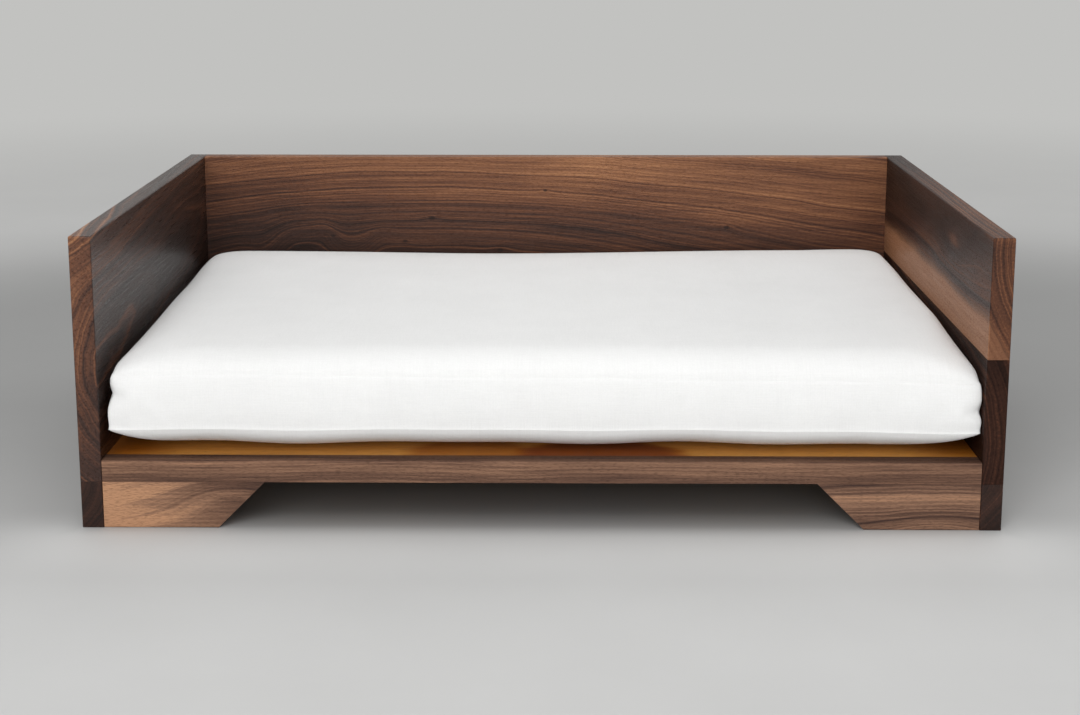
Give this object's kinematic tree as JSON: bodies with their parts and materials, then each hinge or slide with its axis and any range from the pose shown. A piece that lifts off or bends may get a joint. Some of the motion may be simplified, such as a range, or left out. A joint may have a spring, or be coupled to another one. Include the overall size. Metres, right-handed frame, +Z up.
{
  "type": "dog sofa bed",
  "caption": "Low wooden pet bed with three raised sides on bracket feet, a plywood deck and a white boxed cushion that lifts out and closes with a zip.",
  "frame": {"origin": "centre of the footprint, on the floor", "axes": "+X along the width to the right of someone facing the open front, +Y from the open front to the back panel, +Z up"},
  "size_m": [0.787, 0.508, 0.254],
  "materials": {
    "walnut": "satin",
    "dark_walnut": "satin",
    "tan_walnut": "satin",
    "plywood": "satin",
    "softwood": "matte",
    "beech": "matte",
    "zinc_steel": "satin",
    "cover_cloth": "matte",
    "foam": "matte",
    "fibre": "matte",
    "zip_tape": "matte",
    "zip_coil": "satin",
    "zip_metal": "satin"
  },
  "bodies": {
    "frame": {"left_side_panel": "walnut", "right_side_upper_board": "walnut", "right_side_lower_board": "dark_walnut", "back_panel": "walnut", "front_rail": "walnut", "deck_panel": "plywood", "front_left_foot": "tan_walnut", "front_right_foot": "walnut", "rear_left_foot": "walnut", "rear_right_foot": "walnut", "front_left_side_foot": "dark_walnut", "front_right_side_foot": "dark_walnut", "rear_left_side_foot": "walnut", "rear_right_side_foot": "walnut", "front_left_corner_block": "softwood", "front_right_corner_block": "softwood", "rear_left_corner_block": "softwood", "rear_right_corner_block": "softwood", "back_panel_dowels": "beech", "foot_dowels": "beech", "deck_pocket_screws": "zinc_steel", "corner_block_screws": "zinc_steel"},
    "cushion": {"foam_core": "foam", "fibre_wrap": "fibre", "cover_top_panel": "cover_cloth", "cover_bottom_panel": "cover_cloth", "cover_boxing_strip": "cover_cloth", "zip_upper_strip": "cover_cloth", "zip_lower_strip": "cover_cloth", "zip_tapes": "zip_tape", "zip_chain": "zip_coil", "zip_end_stops": "zip_metal"},
    "zip_slider": {"zip_slider": "zip_metal"},
    "zip_pull": {"zip_pull": "zip_metal"}
  },
  "joints": [
    {"name": "cushion_lift", "type": "slide", "parent": "frame", "child": "cushion", "axis": [0, 0, 1], "range_m": [0, 0.25]},
    {"name": "zip_run", "type": "slide", "parent": "cushion", "child": "zip_slider", "axis": [-1, 0, 0], "range_m": [0, 0.588]},
    {"name": "pull_swing", "type": "hinge", "parent": "zip_slider", "child": "zip_pull", "pos_m": [0.2945, 0.2252, 0.10775], "axis": [0, 0, -1], "range_deg": [0, 25]}
  ]
}
